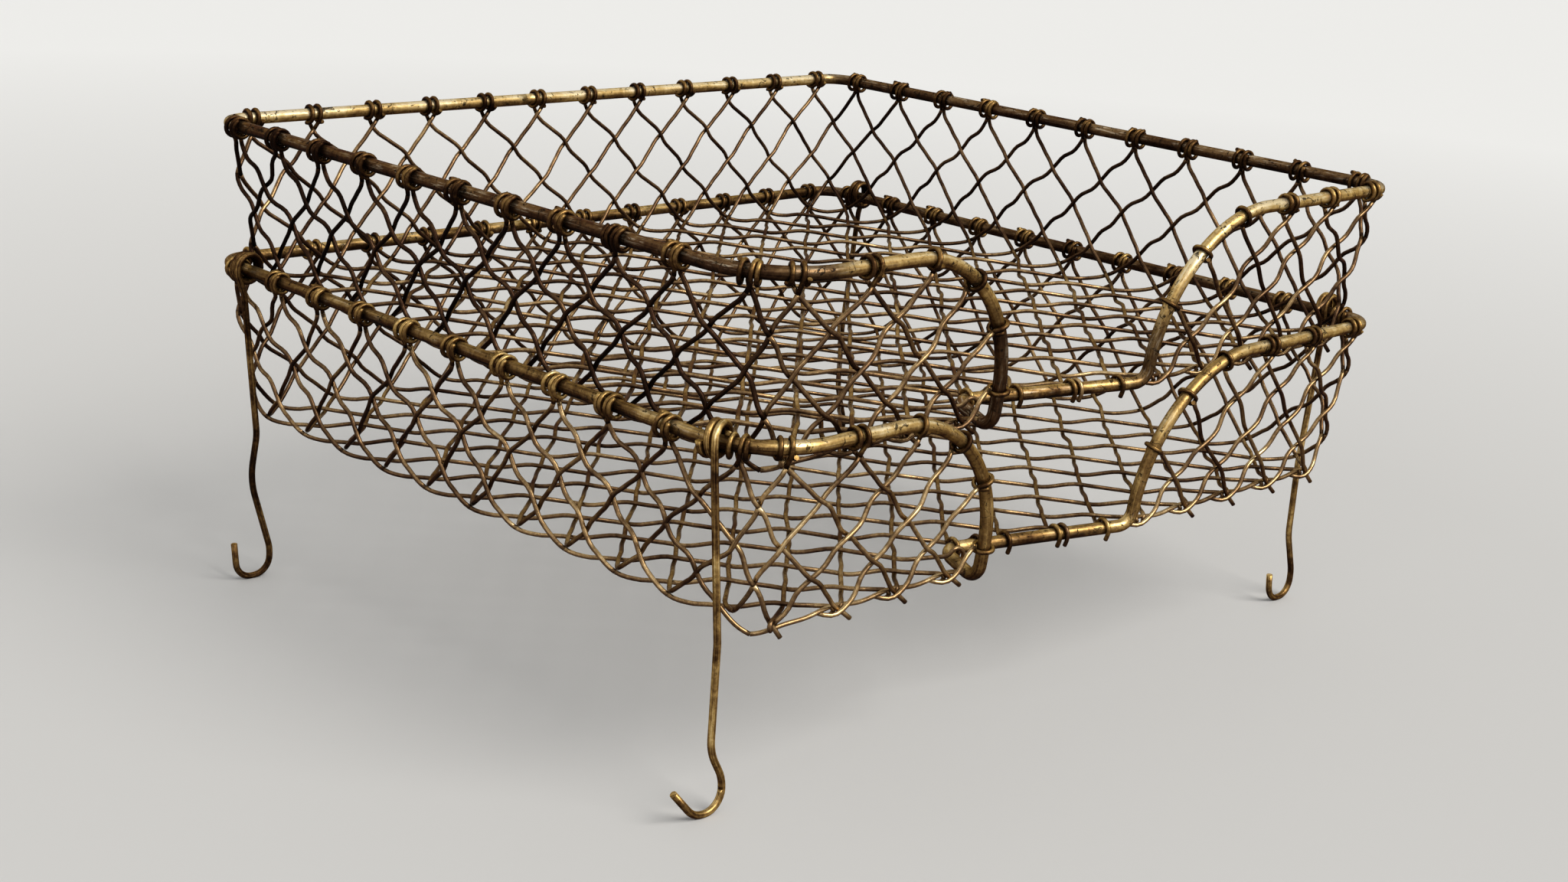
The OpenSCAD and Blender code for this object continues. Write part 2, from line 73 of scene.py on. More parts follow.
# A floor wire's hook round the front edge: millimetres out and up
EDGE_HOOK = ((1.2, 1.3), (2.5, 0.9), (3.2, -0.5), (2.8, -1.7), (1.6, -2.0))
# Height of the weave where a floor wire ends at the edge wire and at the bar
EDGE_LIFT, BAR_LIFT = 0.6, 0.2
# A floor wire's loop over the bar, and the cut end after it
BAR_TURNS, BAR_TAIL = 0.52, 2.2
# Turns of the ties: on the left and right rims, on the back and front, at the corners and on the shoulders
SIDE_TURNS, END_TURNS, CORNER_TURNS, SHOULDER_TURNS = 1.4, 1.08, 0.95, 1.15
TURNS_SPREAD = 0.1
# How far crossings stray from their places on the walls and on the floor, and how far the floor sags
WALL_STRAY, FLOOR_STRAY, FLOOR_SAG = 0.9, 0.8, 0.9
# A wire is sampled about this often, and bows aside in full where crossings lie this far apart
SAMPLE, FULL_BOW = 2.3, 14
# Smoothing of the folds: passes, and samples to each side
FOLD_PASSES, FOLD_REACH = 9, 3
UP = np.array([0.0, 0.0, 1.0])
# Legs: eye round the rim, kneed shank, hooked foot
LEG_R, LEG_Z, LEG_Y = 1.2, 60.0, 125.529
KNEE_X, KNEE_Z = 163.53, 110.0
FOOT_X, FOOT_MID = 158.41, 0.95
EYE_MID, EYE_OFF, EYE_PITCH = 5.1, 1.096, 2.7
EYE_TURNS, EYE_STEPS = 2, 48
HOOK_SWELL, HOOK_R, OPEN_HOOK_R = 5.4, 6.6, 8.5
FL_LEAN = math.asin((FL_R - RIM_HD + LEG_Y) / FL_R)
# Side, place along it, turn of the eye, hook's tip, and the bend above the hook: its height and its sway
LEGS = {
    "front_left_leg": (-1, -LEG_Y, FL_LEAN, (5.5, 9.0, 10.2), 20.0, -0.2),
    "front_right_leg": (1, -LEG_Y, 0.0, (8.4, 1.4, 11.0), 26.0, 0.0),
    "back_left_leg": (-1, LEG_Y, 0.0, (8.4, 1.4, 14.0), 38.0, -2.8),
    "back_right_leg": (1, LEG_Y, 0.0, (8.4, 1.4, 11.0), 26.0, 0.0),
}
# The tray's middle and the two floors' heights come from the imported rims
lo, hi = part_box("lower_rim")
MID_X = (lo.x + hi.x) / 2
RIM_Z = {t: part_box(t + "_rim")[1].z - RIM_R / 1000 for t in ("lower", "upper")}
FLOOR_Z = {t: RIM_Z[t] - TRAY_H / 1000 for t in RIM_Z}


def unit(v):
    return v / np.linalg.norm(v)


def mix(a, b, t):
    return a + (b - a) * t


# Outlines and net points
def lengthways(side):
    return side in ("left", "right")


def steps(side):
    return NY if lengthways(side) else NX


def round_in(d, r):
    return r - math.sqrt(r * r - (r - d) ** 2) if d < r else 0.0


def edge_pt(side, k, hw, hd):
    long = 2 * (hd if lengthways(side) else hw)
    r0 = FL_R if side in ("left", "front") else CORNER_R
    n = steps(side)
    s = CUT * r0 if k <= 0 else long - CUT * CORNER_R if k >= n else long * k / n
    inset = max(round_in(s, r0), round_in(long - s, CORNER_R))
    return np.array({
        "left": (-hw + inset, -hd + s),
        "right": (hw - inset, -hd + s),
        "back": (-hw + s, hd - inset),
        "front": (-hw + s, -hd + inset),
    }[side])


INWARD = {
    "left": np.array([1.0, 0, 0]),
    "right": np.array([-1.0, 0, 0]),
    "back": np.array([0, -1.0, 0]),
    "front": np.array([0, 1.0, 0]),
}
# Neighbouring sides at the low and high end of each side, and the end of the neighbour that is met
NEXT = {
    ("left", 0): ("front", 0),
    ("left", 1): ("back", 0),
    ("right", 0): ("front", 1),
    ("right", 1): ("back", 1),
    ("front", 0): ("left", 0),
    ("front", 1): ("right", 0),
    ("back", 0): ("left", 1),
    ("back", 1): ("right", 1),
}


class Net:
    """One tray's wires: paths through the crossings of the net, cut into pieces by panel."""

    def __init__(self, tray, seed):
        self.tray = tray
        self.rng = np.random.default_rng(seed)
        self.shake = {}
        self.tubes = {}

    def jitter(self, key, amount):
        if key not in self.shake:
            self.shake[key] = self.rng.uniform(-1, 1, 3) * amount
        return self.shake[key]

    def wall(self, side, k, v):
        low, high = edge_pt(side, k, FLOOR_HW, FLOOR_HD), edge_pt(side, k, RIM_HW, RIM_HD)
        p = mix(np.array([low[0], low[1], 0.0]), np.array([high[0], high[1], NET_H]), v / ROWS)
        if 0 < k < steps(side) and 0 < v < ROWS:
            along = UP_CROSS[side]
            j = self.jitter((side, k, v), WALL_STRAY)
            p = p + along * j[0] + UP * j[1] * 0.8
        return p

    def floor(self, i, j):
        if i == 0 or i == NX or j == 0 or j == NY:
            side = "left" if i == 0 else "right" if i == NX else "front" if j == 0 else "back"
            p = edge_pt(side, j if lengthways(side) else i, FLOOR_HW, FLOOR_HD)
            return np.array([p[0], p[1], 0.0])
        d = self.jitter(("floor", i, j), FLOOR_STRAY)
        x = -FLOOR_HW + 2 * FLOOR_HW * i / NX + d[0]
        y = -FLOOR_HD + 2 * FLOOR_HD * j / NY + d[1]
        sag = -FLOOR_SAG * math.sin(math.pi * i / NX) * math.sin(math.pi * j / NY)
        return np.array([x, y, sag])

    def add(self, label, pts, r=NET_R):
        self.tubes.setdefault(label, []).append((np.array(pts), r))


UP_CROSS = {s: np.array([0.0, 1, 0]) if lengthways(s) else np.array([1.0, 0, 0]) for s in INWARD}
# How far a wire weaves to either side of the net's middle
AMP = 0.88
# How far a wire bows aside between crossings on each panel: the set along the diagonal, the set across it
BOW = {
    "left": (0.6, -1.6),
    "right": (0.4, -0.9),
    "back": (0.3, 0.8),
    "front_left": (0.6, -1.1),
    "front_right": (0.2, -1.4),
    "floor": (0.2, 1.0),
}
# Panels whose first set runs almost straight
STRAIGHT = ("floor", "front_right")
RIPPLE, STRAIGHT_RIPPLE = 0.5, 0.12


def place_of(label):
    return label.split("_", 1)[1].replace("_net", "")


def bow_of(label, first_family):
    return BOW[place_of(label)][0 if first_family else 1]


def lay_wire(net, stations, first_family, tails=(None, None)):
    """stations: (point, inward normal, side of the weave, label of the stretch that follows).
    Samples the crimped wire between crossings and hands each stretch to its piece."""
    pts, labels, folds = [], [], []
    for a, b in zip(stations, stations[1:]):
        pa, na, sa, label = a
        pb, nb, sb, _ = b
        length = np.linalg.norm(pb - pa)
        if length < 0.3:
            continue
        if 0.3 < na[2] < 0.9:
            folds.append(len(pts))
        n = max(2, int(round(length / SAMPLE)))
        along = (pb - pa) / length
        for q in range(n):
            t = q / n
            normal = unit(mix(na, nb, t))
            ease = (1 - math.cos(math.pi * t)) / 2
            off = AMP * mix(sa, sb, ease)
            side = np.cross(along, normal)
            ripple = STRAIGHT_RIPPLE if first_family and place_of(label) in STRAIGHT else RIPPLE
            bow = bow_of(label, first_family) * math.sin(2 * math.pi * t) + ripple * math.sin(4 * math.pi * t)
            bow *= min(1.0, length / FULL_BOW)
            pts.append(mix(pa, pb, t) + normal * off + side * bow)
            labels.append(label)
    last = stations[-1]
    pts.append(last[0] + unit(last[1]) * AMP * last[2])
    labels.append(last[3] or labels[-1])
    start, end = tails
    if start:
        folds = [f + len(start[0]) for f in folds]
        pts = list(start[0][::-1]) + pts
        labels = [start[1]] * len(start[0]) + labels
    if end:
        pts = pts + list(end[0])
        labels = labels + [end[1]] * len(end[0])
    p = np.array(pts)
    for _ in range(2):
        p[1:-1] = 0.25 * p[:-2] + 0.5 * p[1:-1] + 0.25 * p[2:]
    for f in folds:
        for _ in range(FOLD_PASSES):
            w = slice(max(f - FOLD_REACH, 1), min(f + FOLD_REACH + 1, len(p) - 1))
            p[w] = 0.25 * p[w.start - 1:w.stop - 1] + 0.5 * p[w] + 0.25 * p[w.start + 1:w.stop + 1]
    begin = 0
    for m in range(1, len(p) + 1):
        if m == len(p) or labels[m] != labels[begin]:
            stop = m + 1 if m < len(p) else m
            if stop - begin > 1:
                net.add(labels[begin], p[begin:stop])
            begin = m


def winding(centre, e, to_net, over, way, turns, first=0.35, radius=TIE_MID, pitch=1.75, start=0.95,
            tail=0.0):
    """Points of a wire end wound round a rod: it leaves the net at to_net and goes round by way of over."""
    out = []
    n = max(6, int(round(turns * 20)))
    for q in range(n + 1):
        th = first + 2 * math.pi * turns * q / n
        a = way * (start + pitch * turns * q / n)
        out.append(centre + e * a + radius * (math.cos(th) * to_net + math.sin(th) * over))
    if tail:
        d = unit(out[-1] - out[-2])
        out += [out[-1] + d * tail * s for s in (0.35, 0.7, 1.0)]
    return out


def rim_tie(net, side, k, sign, way):
    """The winding of a wire that ends at the rim, and the label of its piece."""
    c = edge_pt(side, k, RIM_HW, RIM_HD)
    d = edge_pt(side, k + 0.02, RIM_HW, RIM_HD) - edge_pt(side, k - 0.02, RIM_HW, RIM_HD)
    e = unit(np.array([d[0], d[1], 0.0]))
    inside = np.cross(UP, e)
    if inside @ INWARD[side] < 0:
        inside = -inside
    lobe = ("front_left" if c[0] < 0 else "front_right") if side == "front" else side
    turns = SIDE_TURNS if lengthways(side) else END_TURNS
    if k in (0, steps(side)):
        turns = CORNER_TURNS
    turns += TURNS_SPREAD * net.rng.uniform(-1, 1)
    centre = np.array([c[0], c[1], TRAY_H])
    radius = TIE_MID
    if lengthways(side):
        # The loops stand a little off the rod, on the outer side
        radius += 0.35
        centre = centre - inside * 0.45 - UP * 0.35
    pts = winding(centre, e, -UP, inside * sign, way, turns, radius=radius)
    return pts, f"{net.tray}_{lobe}_ties"


# Front lobes: where a wire is stopped by the shoulder above it
def lobe_foot(h):
    return DIP_X0 if h > 0 else -DIP_X1


def in_lobe(h, p):
    x, z, xc, zc = h * p[0], p[2], lobe_foot(h) - SHOULDER_R, TRAY_H - SHOULDER_R
    if x <= xc:
        return z <= NET_H + 0.01
    if z <= zc:
        return x <= lobe_foot(h) - TIE_DROP
    return math.hypot(x - xc, z - zc) <= SHOULDER_R - TIE_DROP


def shoulder_tie(h, p, sign):
    """The winding of a wire that ends at the shoulder, round the nearest place of the rod."""
    x, z, xc, zc = h * p[0], p[2], lobe_foot(h) - SHOULDER_R, TRAY_H - SHOULDER_R
    if x <= xc:
        u, q = (0.0, 1.0), (x, TRAY_H)
    elif z <= zc:
        u, q = (1.0, 0.0), (lobe_foot(h), z)
    else:
        u = unit(np.array([x - xc, z - zc]))
        q = (xc + u[0] * SHOULDER_R, zc + u[1] * SHOULDER_R)
    slope = (RIM_HD - FLOOR_HD) / TRAY_H
    centre = np.array([h * q[0], -FLOOR_HD - slope * q[1], q[1]])
    e = unit(np.array([h * u[1], slope * u[0], -u[0]]))
    g = np.array([-h * u[0], slope * u[1], -u[1]])
    to_net = unit(g - e * (g @ e))
    over = np.cross(to_net, e)
    if over[1] * sign < 0:
        over = -over
    return winding(centre, e, to_net, over, 1, SHOULDER_TURNS, start=-0.9)


def panel(tray, side, p):
    name = ("front_left" if p[0] < 0 else "front_right") if side == "front" else side
    return f"{tray}_{name}_net"


def rise(net, side, k, way, sign, v=0):
    """Stations from the fold, or a corner, up to the rim; returns them and the winding at the top."""
    out = []
    n = steps(side)
    pt = net.wall(side, k, v)
    h = 1 if pt[0] < 0 else -1
    while v < ROWS:
        label = panel(net.tray, side, pt)
        nk = k + way
        nxt = net.wall(side, nk, v + 1)
        if side == "front" and not in_lobe(h, nxt):
            a, b = 0.0, 1.0
            for _ in range(14):
                m = (a + b) / 2
                a, b = (m, b) if in_lobe(h, mix(pt, nxt, m)) else (a, m)
            stop = mix(pt, nxt, max(a, 0.02))
            out.append((stop, INWARD[side], mix(sign, -sign, a), None))
            final = -sign if a > 0.5 else sign
            return out, (shoulder_tie(h, stop, final), label.replace("_net", "_ties"))
        sign = -sign
        k, v = nk, v + 1
        normal = INWARD[side]
        if k in (0, n):
            other, end = NEXT[(side, 0 if k == 0 else 1)]
            normal = unit(normal + INWARD[other])
            side, n = other, steps(other)
            k, way = (0, 1) if end == 0 else (n, -1)
            h = 1 if nxt[0] < 0 else -1
        pt = nxt
        label = panel(net.tray, side, pt)
        out.append((nxt, normal, sign, label if v < ROWS else None))
    return out, rim_tie(net, side, k, sign, way)


def seg_near(p, a, b):
    t = max(0.0, min(1.0, (p - a) @ (b - a) / ((b - a) @ (b - a))))
    return mix(a, b, t)


def bar_near(p):
    p = np.array([p[0], p[1], 0.0])
    q1, q2 = seg_near(p, BAR_A, BAR_B), seg_near(p, BAR_B, BAR_C)
    d1, d2 = np.linalg.norm(p - q1), np.linalg.norm(p - q2)
    return (q1, unit(BAR_B - BAR_A), d1) if d1 < d2 else (q2, unit(BAR_C - BAR_B), d2)


def floor_wire(net, cells, first_family):
    """A wire across the floor, up a side at each end, or hooked to the front edge or the bar."""
    t = net.tray
    label = f"{t}_floor_net"
    if len(cells) == 2 and cells[-1] == (1, 0):
        corner_wire(net)
        return

    def weave(i):
        return (1 if i % 2 else -1) * (1 if first_family else -1)

    ends = []
    for which in (0, -1):
        i, j = cells[which]
        if j == 0:
            ends.append("front")
            continue
        side = "left" if i == 0 else "right" if i == NX else "back"
        k = j if lengthways(side) else i
        ni, nj = cells[1] if which == 0 else cells[-2]
        way = (j - nj) if lengthways(side) else (i - ni)
        ends.append((side, k, way))
    core = []
    for i, j in cells:
        side = "left" if i == 0 else "right" if i == NX else "back" if j == NY else None
        normal = UP if side is None else unit(UP + INWARD[side])
        # At the side folds the first set lies inside the other
        core.append([net.floor(i, j), normal, -weave(i) if i in (0, NX) else weave(i), label])
    head_tail = end_tail = None
    # A front end stops at the bar or at the edge wire
    for which in (0, -1):
        if ends[which] != "front":
            continue
        seq = core if which == 0 else core[::-1]
        keep = None
        walk = seq[::-1]
        for a, b in zip(walk, walk[1:]):
            hit = None
            for q in range(41):
                p = mix(a[0], b[0], q / 40)
                near, e, dist = bar_near(p)
                if dist < TIE_MID - 0.1:
                    hit = (p, near, e)
                    break
                if p[1] < -FLOOR_HD + EDGE_IN + EDGE_ROOM and (p[0] < DIP_X0 or p[0] > DIP_X1):
                    hit = (p, None, None)
                    break
            if hit:
                keep = (a, hit)
                break
        if keep is None:
            p = seq[0][0]
            keep = (walk[-2], (p, None, None))
        a, (p, near, e) = keep
        idx = next(m for m, c in enumerate(seq) if c is a)
        rest = seq[idx:]
        if near is not None:
            to_net = unit(np.array([p[0] - near[0], p[1] - near[1], 0.0]))
            e = e if e[0] >= 0 else -e
            tail = winding(near, e, to_net, UP, 1, BAR_TURNS, first=0.5, start=0.0, pitch=1.0, tail=BAR_TAIL)
            tail_label = f"{t}_bar_ties" if first_family else label
        else:
            out = unit(p - a[0])
            q = np.array([p[0], p[1], 0.0])
            tail = [q + out * along + UP * rise_by for along, rise_by in EDGE_HOOK]
            tail_label = label
        last = [p, UP, EDGE_LIFT if near is None else BAR_LIFT, label]
        if which == 0:
            core = [last] + rest
            head_tail = (tail, tail_label)
        else:
            core = rest[::-1] + [last]
            end_tail = (tail, tail_label)
    stations = [tuple(c) for c in core]
    if ends[0] != "front":
        side, k, way = ends[0]
        up, head_tail = rise(net, side, k, way, weave(cells[0][0]))
        chain = up[::-1]
        stations = [(c[0], c[1], c[2], panel_before(t, chain, m, side)) for m, c in enumerate(chain)] + stations
    if ends[1] != "front":
        side, k, way = ends[1]
        up, end_tail = rise(net, side, k, way, weave(cells[-1][0]))
        fold, normal, sign, _ = stations[-1]
        stations[-1] = (fold, normal, sign, panel(t, side, fold))
        stations = stations + up
    lay_wire(net, stations, first_family, (head_tail, end_tail))


def corner_wire(net):
    """The wire at the front left corner of the floor comes down the left side and goes on as the edge wire."""
    fold = net.floor(0, 1)
    up, top = rise(net, "left", 1, 1, -1)
    label = panel(net.tray, "left", fold)
    end = edge_wire_pt(EDGE_START, 1)
    bend = [fold + (end - fold) * np.array(v) for v in CORNER_BEND]
    tail = (bend + [end], label)
    lay_wire(net, [(fold, unit(UP + INWARD["left"]), -1, label)] + up, False, (tail, top))


def panel_before(tray, chain, m, side):
    """Label of the stretch that follows station m of a chain that runs down from the rim to the fold."""
    if m + 1 < len(chain):
        nxt = chain[m + 1]
        if nxt[3] is not None:
            return nxt[3]
    return panel(tray, side, chain[m][0])


def lobe_wire(net, k, way):
    """A front wire: a cut end below the edge, up over the edge wire and on to a tie."""
    base = net.wall("front", k, 0)
    first = way < 0
    sign = 1 if first else -1
    up, top = rise(net, "front", k, way, sign)
    if len(up) == 1 and np.linalg.norm(up[0][0] - base) < 5:
        return
    label = panel(net.tray, "front", base)
    d = unit(up[0][0] - base)
    tail = None
    stations = [(base, INWARD["front"], sign * 0.9, label)] + up
    if first:
        stations = [(base - d * (CUT_END - 0.5), INWARD["front"], -0.9, label)] + stations
    elif k > 1:
        # The other set bends along the edge to the next crossing
        tail = ([], label)
        for f, inward, z in ((0.14, -0.6, -1.3), (0.3, 0.0, -1.6), (0.46, 1.2, -1.1), (0.6, 2.6, -0.3)):
            q = edge_pt("front", k - f, FLOOR_HW, FLOOR_HD)
            tail[0].append(np.array([q[0], q[1] + inward, z]))
    lay_wire(net, stations, first, (tail, top))


def edge_wire_pt(k, h):
    """A point of the edge wire of the left (1) or right (-1) lobe; the left one droops at the corner."""
    p = edge_pt("front", k, FLOOR_HW, FLOOR_HD)
    phase = math.pi * (k - 1)
    droop = EDGE_DROOP * math.exp(-(((k - 0.6) / 0.75) ** 2)) if h > 0 else 0.0
    inward = EDGE_IN * (1 - droop / 6)
    y = p[1] + inward + 0.3 * math.sin(phase)
    return np.array([p[0], y, 0.7 * math.cos(phase + 0.5) - droop])


def edge_wire(net, h):
    side = "left" if h > 0 else "right"
    if h > 0:
        ks, end = np.arange(EDGE_START, EDGE_LAST, EDGE_STEP), DIP_X0 - RIM_R - NET_R - EDGE_ROOM
    else:
        ks, end = np.arange(NX - 0.7, EDGE_LAST, -EDGE_STEP), DIP_X1 + RIM_R + NET_R + EDGE_ROOM
    pts = [edge_wire_pt(k, h) for k in ks]
    net.add(f"{net.tray}_{side}_edge_wire", [p for p in pts if h * (end - p[0]) >= 0])


def build_net(tray, seed):
    net = Net(tray, seed)
    for c in range(1 - NY, NX, 2):
        i, j = max(c, 0), max(-c, 0)
        t = min(NX - i, NY - j)
        floor_wire(net, [(i + s, j + s) for s in range(t + 1)], True)
    for c in range(1, NX + NY, 2):
        i, j = max(c - NY, 0), min(c, NY)
        t = min(NX - i, j)
        floor_wire(net, [(i + s, j - s) for s in range(t + 1)], False)
    for k in range(1, NX, 2):
        p = net.wall("front", k, 0)
        if in_lobe(1 if p[0] < 0 else -1, p):
            lobe_wire(net, k, 1)
            lobe_wire(net, k, -1)
    edge_wire(net, 1)
    edge_wire(net, -1)
    return net


# Rods: straight lengths and bends
def rounded(corners, radii):
    pts = [np.array(corners[0], float)]
    for o, p, q, r in zip(corners, corners[1:], corners[2:], radii[1:]):
        o, p, q = (np.array(v, float) for v in (o, p, q))
        d1, d2 = unit(p - o), unit(q - p)
        ang = math.acos(max(-1.0, min(1.0, d1 @ d2)))
        start = p - d1 * r * math.tan(ang / 2)
        aside = unit(d2 - d1 * (d1 @ d2))
        centre = start + aside * r
        n = max(4, int(math.ceil(ang * max(r / 1.6, 5))))
        for m in range(n + 1):
            th = ang * m / n
            pts.append(centre - aside * r * math.cos(th) + d1 * r * math.sin(th))
    pts.append(np.array(corners[-1], float))
    out = [pts[0]]
    for a, b in zip(pts, pts[1:]):
        n = max(1, int(np.linalg.norm(b - a) / 5))
        out += [mix(a, b, m / n) for m in range(1, n + 1)]
    return out


def rim_path():
    """The rim rod from behind the back, round by the left and through the dip, back to where it began."""
    hw, hd, h = RIM_HW, RIM_HD, TRAY_H
    corners = [(-20, hd, h), (-hw, hd, h), (-hw, -hd, h), (DIP_X0, -hd, h), (BAR_A[0], BAR_A[1], -BAR_SAG),
               tuple(BAR_B), tuple(BAR_C), (DIP_X1, -hd, h), (hw, -hd, h), (hw, hd, h), (-20.4, hd, h)]
    return rounded(corners, [0, CORNER_R, FL_R, SHOULDER_R, BAR_BEND, BAR_BEND, BAR_BEND, SHOULDER_R, CORNER_R,
                             CORNER_R, 0])


def leg_path(s, y, lean, tip, swing, sway):
    """A leg's wire, from the end of its eye down to the tip of its hook."""
    out = np.array([s * math.cos(lean), -math.sin(lean), 0.0])
    e = np.cross(out, UP)
    rim_in = FL_R * (1 - math.cos(lean))
    eye = np.array([s * (RIM_HW - rim_in), y, LEG_Z + TRAY_H]) + EYE_OFF * (out + UP)
    helix = []
    for m in range(EYE_STEPS + 1):
        th = 2 * math.pi * EYE_TURNS * (1 - m / EYE_STEPS)
        ring = math.cos(th) * out + math.sin(th) * UP
        helix.append(eye + EYE_MID * ring + e * EYE_PITCH * (th / (2 * math.pi) - EYE_TURNS / 2))
    start = helix[-1]
    x, w = s * FOOT_X, start[1]
    shank = rounded(
        [start, start - UP * 1.5, (s * KNEE_X, w, KNEE_Z), (x, w, LEG_Z - 4), (x + sway, w, FOOT_MID + swing),
         (x + HOOK_SWELL, w, FOOT_MID + 10), (x + HOOK_SWELL, w, FOOT_MID), (x - tip[0], w, FOOT_MID),
         (x - tip[0] - tip[1], w, FOOT_MID + tip[2])],
        [0, 3, 8, 20, 0.8 * swing, 13, HOOK_R, HOOK_R if tip[1] < 5 else OPEN_HOOK_R, 0])
    return helix + shank[1:]


# Meshes
def sweep(pts, r, sides, offset):
    """A tube along pts with flat cut ends, and its UVs: metres along, and once there and back around."""
    p = np.asarray(pts, float)
    keep = np.r_[True, np.linalg.norm(np.diff(p, axis=0), axis=1) > 1e-4]
    p = p[keep]
    n = len(p)
    t = np.gradient(p, axis=0)
    t /= np.linalg.norm(t, axis=1)[:, None]
    u = np.cross(t[0], UP if abs(t[0][2]) < 0.9 else np.array([1.0, 0, 0]))
    u /= np.linalg.norm(u)
    ang = np.arange(sides) * 2 * math.pi / sides
    verts = np.zeros((n, sides, 3))
    for m in range(n):
        u = u - t[m] * (u @ t[m])
        u /= np.linalg.norm(u)
        w = np.cross(t[m], u)
        verts[m] = p[m] + r * (np.cos(ang)[:, None] * u + np.sin(ang)[:, None] * w)
    a = np.arange(n - 1)[:, None] * sides + np.arange(sides)[None]
    b = np.arange(n - 1)[:, None] * sides + (np.arange(sides)[None] + 1) % sides
    quads = np.stack([a, b, b + sides, a + sides], -1).reshape(-1, 4)
    caps = [list(range(sides))[::-1], [(n - 1) * sides + m for m in range(sides)]]
    along = offset + np.r_[0, np.cumsum(np.linalg.norm(np.diff(p, axis=0), axis=1))] / 1000
    around = np.abs(2 * np.arange(sides) / sides - 1)
    uv = np.stack(np.broadcast_arrays(along[:, None], around[None]), -1).reshape(-1, 2)
    return verts.reshape(-1, 3), quads.tolist() + caps, uv


def make_piece(name, tubes, body, lift, material, replaced, sides=8):
    """tubes: (points in millimetres, radius). lift: height of the points' zero, in metres."""
    verts, faces, uvs, base = [], [], [], 0
    for m, (pts, r) in enumerate(tubes):
        v, f, uv = sweep(pts, r, sides, 0.37 * m)
        verts.append(v)
        uvs.append(uv)
        faces += [[x + base for x in face] for face in f]
        base += len(v)
    v = np.concatenate(verts) / 1000
    v[:, 0] += MID_X
    v[:, 2] = np.maximum(v[:, 2] + lift, 0)
    mesh = bpy.data.meshes.new(name)
    mesh.from_pydata(v.tolist(), [], faces)
    mesh.polygons.foreach_set("use_smooth", [len(f) == 4 for f in faces])
    layer = mesh.uv_layers.new(name="along")
    corners = np.concatenate([np.array(f) for f in faces])
    layer.data.foreach_set("uv", np.concatenate(uvs)[corners].astype(np.float32).ravel())
    mesh.update()
    obj = bpy.data.objects.new(name, mesh)
    scene.collection.objects.link(obj)
    obj.data.materials.append(material)
    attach(obj, body)
    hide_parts(replaced)
    return obj


# Materials
class Graph:
    def __init__(self, name):
        self.mat = bpy.data.materials.new(name)
        self.mat.use_nodes = True
        self.nodes = self.mat.node_tree.nodes
        self.links = self.mat.node_tree.links
        self.bsdf = self.nodes["Principled BSDF"]

    def add(self, kind, **props):
        n = self.nodes.new(kind)
        for key, value in props.items():
            if key in n.inputs:
                n.inputs[key].default_value = value
            else:
                setattr(n, key, value)
        return n

    def put(self, out, node, socket):
        if isinstance(out, (int, float)):
            node.inputs[socket].default_value = out
        else:
            self.links.new(out, node.inputs[socket])

    def noise(self, coords, scale, detail=4.0, rough=0.6, distortion=0.0):
        n = self.add("ShaderNodeTexNoise", Scale=scale, Detail=detail, Roughness=rough, Distortion=distortion)
        self.links.new(coords, n.inputs["Vector"])
        return n.outputs["Fac"]

    def math(self, op, a, b=0.0, c=None, clamp=False):
        n = self.add("ShaderNodeMath", operation=op, use_clamp=clamp)
        self.put(a, n, 0)
        self.put(b, n, 1)
        if c is not None:
            self.put(c, n, 2)
        return n.outputs[0]

    def span(self, value, a, b, lo=0.0, hi=1.0):
        n = self.add("ShaderNodeMapRange", clamp=True)
        self.put(value, n, "Value")
        for key, x in (("From Min", a), ("From Max", b), ("To Min", lo), ("To Max", hi)):
            n.inputs[key].default_value = x
        return n.outputs[0]

    def ramp(self, value, stops):
        n = self.add("ShaderNodeValToRGB")
        cr = n.color_ramp
        while len(cr.elements) < len(stops):
            cr.elements.new(0.5)
        for e, (pos, col) in zip(cr.elements, stops):
            e.position = pos
            e.color = (*col, 1)
        self.links.new(value, n.inputs[0])
        return n.outputs[0]

    def blend(self, fac, a, b):
        n = self.add("ShaderNodeMix", data_type="RGBA")
        self.put(fac, n, 0)
        for socket, x in ((6, a), (7, b)):
            if isinstance(x, tuple):
                n.inputs[socket].default_value = (*x, 1)
            else:
                self.links.new(x, n.inputs[socket])
        return n.outputs[2]


